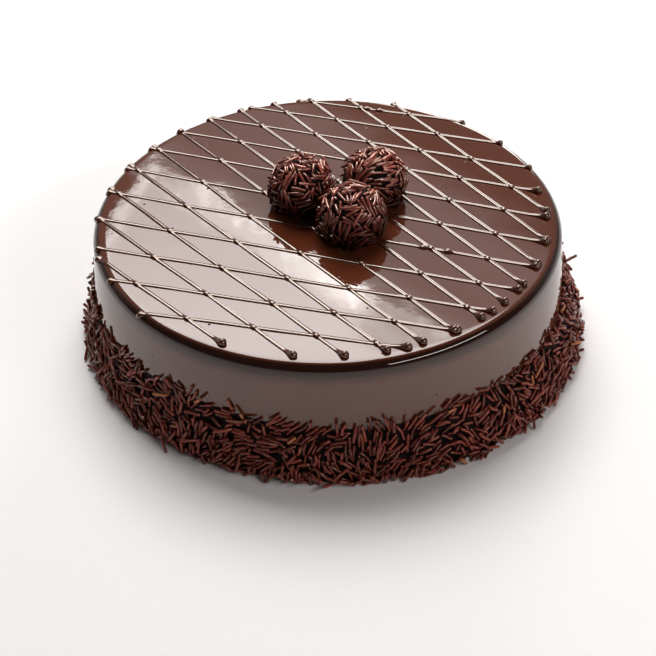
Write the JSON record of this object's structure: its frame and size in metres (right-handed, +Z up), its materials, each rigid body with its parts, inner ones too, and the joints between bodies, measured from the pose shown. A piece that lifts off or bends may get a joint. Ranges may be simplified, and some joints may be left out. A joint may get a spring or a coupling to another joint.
{
  "type": "chocolate truffle cake",
  "caption": "Round uncut chocolate cake with mirror glaze, a diagonal lattice of piped lines, a collar of sprinkles round its foot and sprinkle-coated truffles on top.",
  "frame": {"origin": "centre of the cake's flat base, on the axis of its glazed drum", "axes": "+Z up through the cake, -Y towards its front, +X to the right seen from the front"},
  "size_m": [0.2669, 0.264, 0.0911],
  "materials": {
    "chocolate_glaze": "mirror-gloss dark chocolate glaze and piped chocolate",
    "chocolate_sprinkles": "semi-gloss dark chocolate sprinkles, a few of them lighter"
  },
  "bodies": {
    "root": {"glazed_cake": "chocolate_glaze", "truffle_left": "chocolate_sprinkles", "truffle_right": "chocolate_sprinkles", "truffle_front": "chocolate_sprinkles"}
  },
  "joints": []
}
